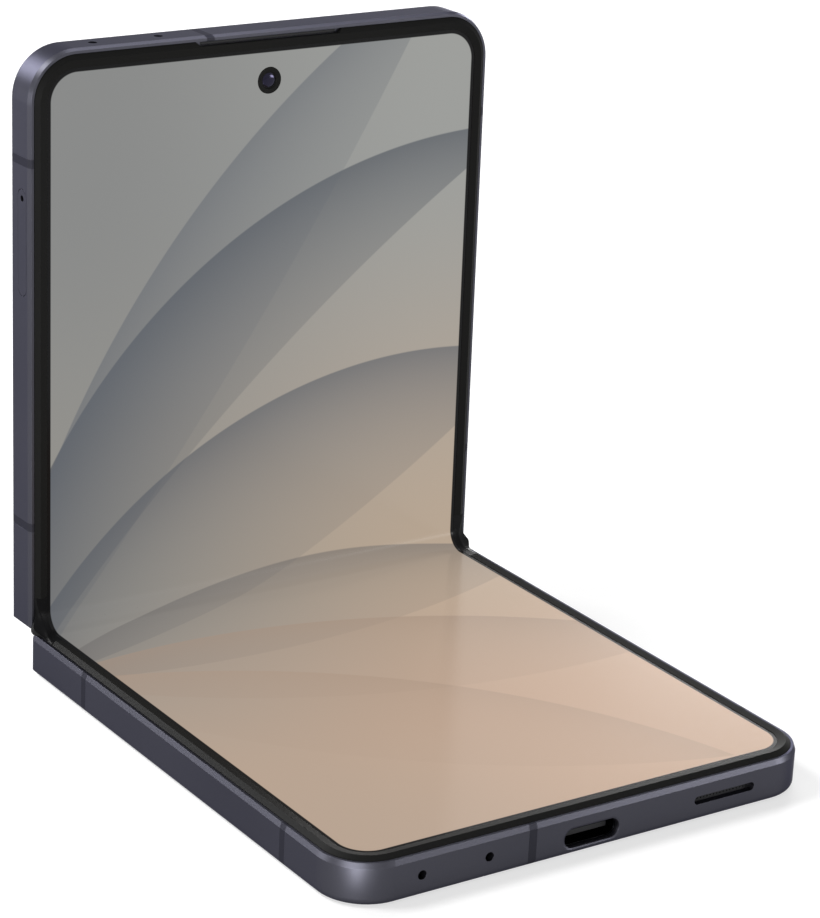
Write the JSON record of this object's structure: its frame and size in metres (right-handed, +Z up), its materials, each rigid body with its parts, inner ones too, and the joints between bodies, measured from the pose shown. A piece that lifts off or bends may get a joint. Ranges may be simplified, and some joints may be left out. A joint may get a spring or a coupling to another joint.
{
  "type": "foldable smartphone",
  "caption": "Clamshell folding smartphone standing half open, with an inner folding display, a geared hinge spine, rear cameras, side keys and a card tray.",
  "frame": {"origin": "centre of the underside of the lower half, on the surface that the phone stands on", "axes": "+Z up, away from that surface; +Y along the lower half towards the hinge; +X across the phone, towards the side with the keys"},
  "size_m": [0.0756, 0.092, 0.0898],
  "materials": {
    "frame_metal": "satin anodised",
    "antenna_plastic": "matte",
    "bezel_black": "satin",
    "screen_glass": "glossy",
    "back_glass": "frosted",
    "black_glass": "glossy",
    "hinge_steel": "brushed",
    "bright_steel": "polished",
    "black_plastic": "matte",
    "circuit_board": "satin",
    "copper": "satin",
    "battery_foil": "satin"
  },
  "bodies": {
    "lower_half": {"lower_frame": "frame_metal", "lower_antenna_bands": "antenna_plastic", "lower_bezel": "bezel_black", "display_lower": "screen_glass", "lower_display_plate": "hinge_steel", "lower_back_cover": "back_glass", "lower_battery": "battery_foil", "charging_coil": "copper", "sub_board": "circuit_board", "usb_c_shell": "hinge_steel", "usb_c_tongue": "black_plastic", "loudspeaker": "black_plastic", "speaker_mesh": "black_plastic", "lower_microphones": "hinge_steel", "vibration_motor": "hinge_steel", "lower_screws": "bright_steel", "lower_hinge_rails": "hinge_steel", "lower_magnets": "bright_steel"},
    "spine": {"spine_cover": "frame_metal", "spine_end_caps": "black_plastic", "hinge_bases": "hinge_steel", "hinge_cams": "hinge_steel", "hinge_springs": "bright_steel", "display_fold_lower": "screen_glass", "display_fold_upper": "screen_glass", "fold_trim_lower": "bezel_black", "fold_trim_upper": "bezel_black"},
    "lower_timing_arms": {"sync_arms_lower": "hinge_steel"},
    "upper_timing_arms": {"sync_arms_upper": "hinge_steel"},
    "lower_idlers": {"idler_gears_lower": "hinge_steel"},
    "upper_idlers": {"idler_gears_upper": "hinge_steel"},
    "upper_half": {"upper_frame": "frame_metal", "upper_antenna_bands": "antenna_plastic", "upper_bezel": "bezel_black", "display_upper": "screen_glass", "upper_display_plate": "hinge_steel", "upper_back_cover": "black_glass", "cover_display": "black_glass", "upper_battery": "battery_foil", "main_board": "circuit_board", "shield_cans": "hinge_steel", "rear_cameras": "black_plastic", "camera_rings": "frame_metal", "camera_lenses": "black_glass", "flash_lens": "black_glass", "front_camera": "black_plastic", "front_camera_window": "black_glass", "earpiece": "black_plastic", "earpiece_mesh": "black_plastic", "upper_microphones": "hinge_steel", "key_switches": "bright_steel", "card_reader": "hinge_steel", "upper_screws": "bright_steel", "upper_hinge_rails": "hinge_steel", "upper_magnets": "bright_steel"},
    "card_slide": {"card_tray": "frame_metal"},
    "volume_button": {"volume_key": "frame_metal"},
    "side_button": {"side_key": "frame_metal"}
  },
  "joints": [
    {"name": "fold_lower", "type": "hinge", "parent": "lower_half", "child": "spine", "pos_m": [0, 0.04097, 0.00615], "axis": [1, 0, 0], "range_deg": [-44.6, 45.4], "deforming": ["display_fold_lower", "fold_trim_lower"]},
    {"name": "fold_upper", "type": "hinge", "parent": "spine", "child": "upper_half", "pos_m": [0, 0.04197, 0.00713], "axis": [1, 0, 0], "range_deg": [-44.6, 45.4], "deforming": ["display_fold_upper", "fold_trim_upper"]},
    {"name": "lower_arm_turn", "type": "hinge", "parent": "spine", "child": "lower_timing_arms", "pos_m": [0, 0.04096, 0.00417], "axis": [1, 0, 0], "range_deg": [-45.4, 44.6]},
    {"name": "upper_arm_turn", "type": "hinge", "parent": "spine", "child": "upper_timing_arms", "pos_m": [0, 0.04395, 0.00712], "axis": [1, 0, 0], "range_deg": [-44.6, 45.4]},
    {"name": "lower_idler_turn", "type": "hinge", "parent": "spine", "child": "lower_idlers", "pos_m": [0, 0.04196, 0.00515], "axis": [1, 0, 0], "range_deg": [-44.6, 45.4]},
    {"name": "upper_idler_turn", "type": "hinge", "parent": "spine", "child": "upper_idlers", "pos_m": [0, 0.04295, 0.00614], "axis": [1, 0, 0], "range_deg": [-45.4, 44.6]},
    {"name": "card_tray_slide", "type": "slide", "parent": "upper_half", "child": "card_slide", "axis": [-1, 0, 0], "range_m": [0, 0.0145]},
    {"name": "volume_press", "type": "slide", "parent": "upper_half", "child": "volume_button", "axis": [-1, 0, 0], "range_m": [0, 0.0002], "stiffness_N_per_m": 300},
    {"name": "side_press", "type": "slide", "parent": "upper_half", "child": "side_button", "axis": [-1, 0, 0], "range_m": [0, 0.0002], "stiffness_N_per_m": 300}
  ],
  "couplings": [
    {"joint": "fold_upper", "follows": "fold_lower", "ratio": 1},
    {"joint": "lower_arm_turn", "follows": "fold_lower", "ratio": -1},
    {"joint": "upper_arm_turn", "follows": "fold_lower", "ratio": 1},
    {"joint": "lower_idler_turn", "follows": "fold_lower", "ratio": 1},
    {"joint": "upper_idler_turn", "follows": "fold_lower", "ratio": -1}
  ]
}
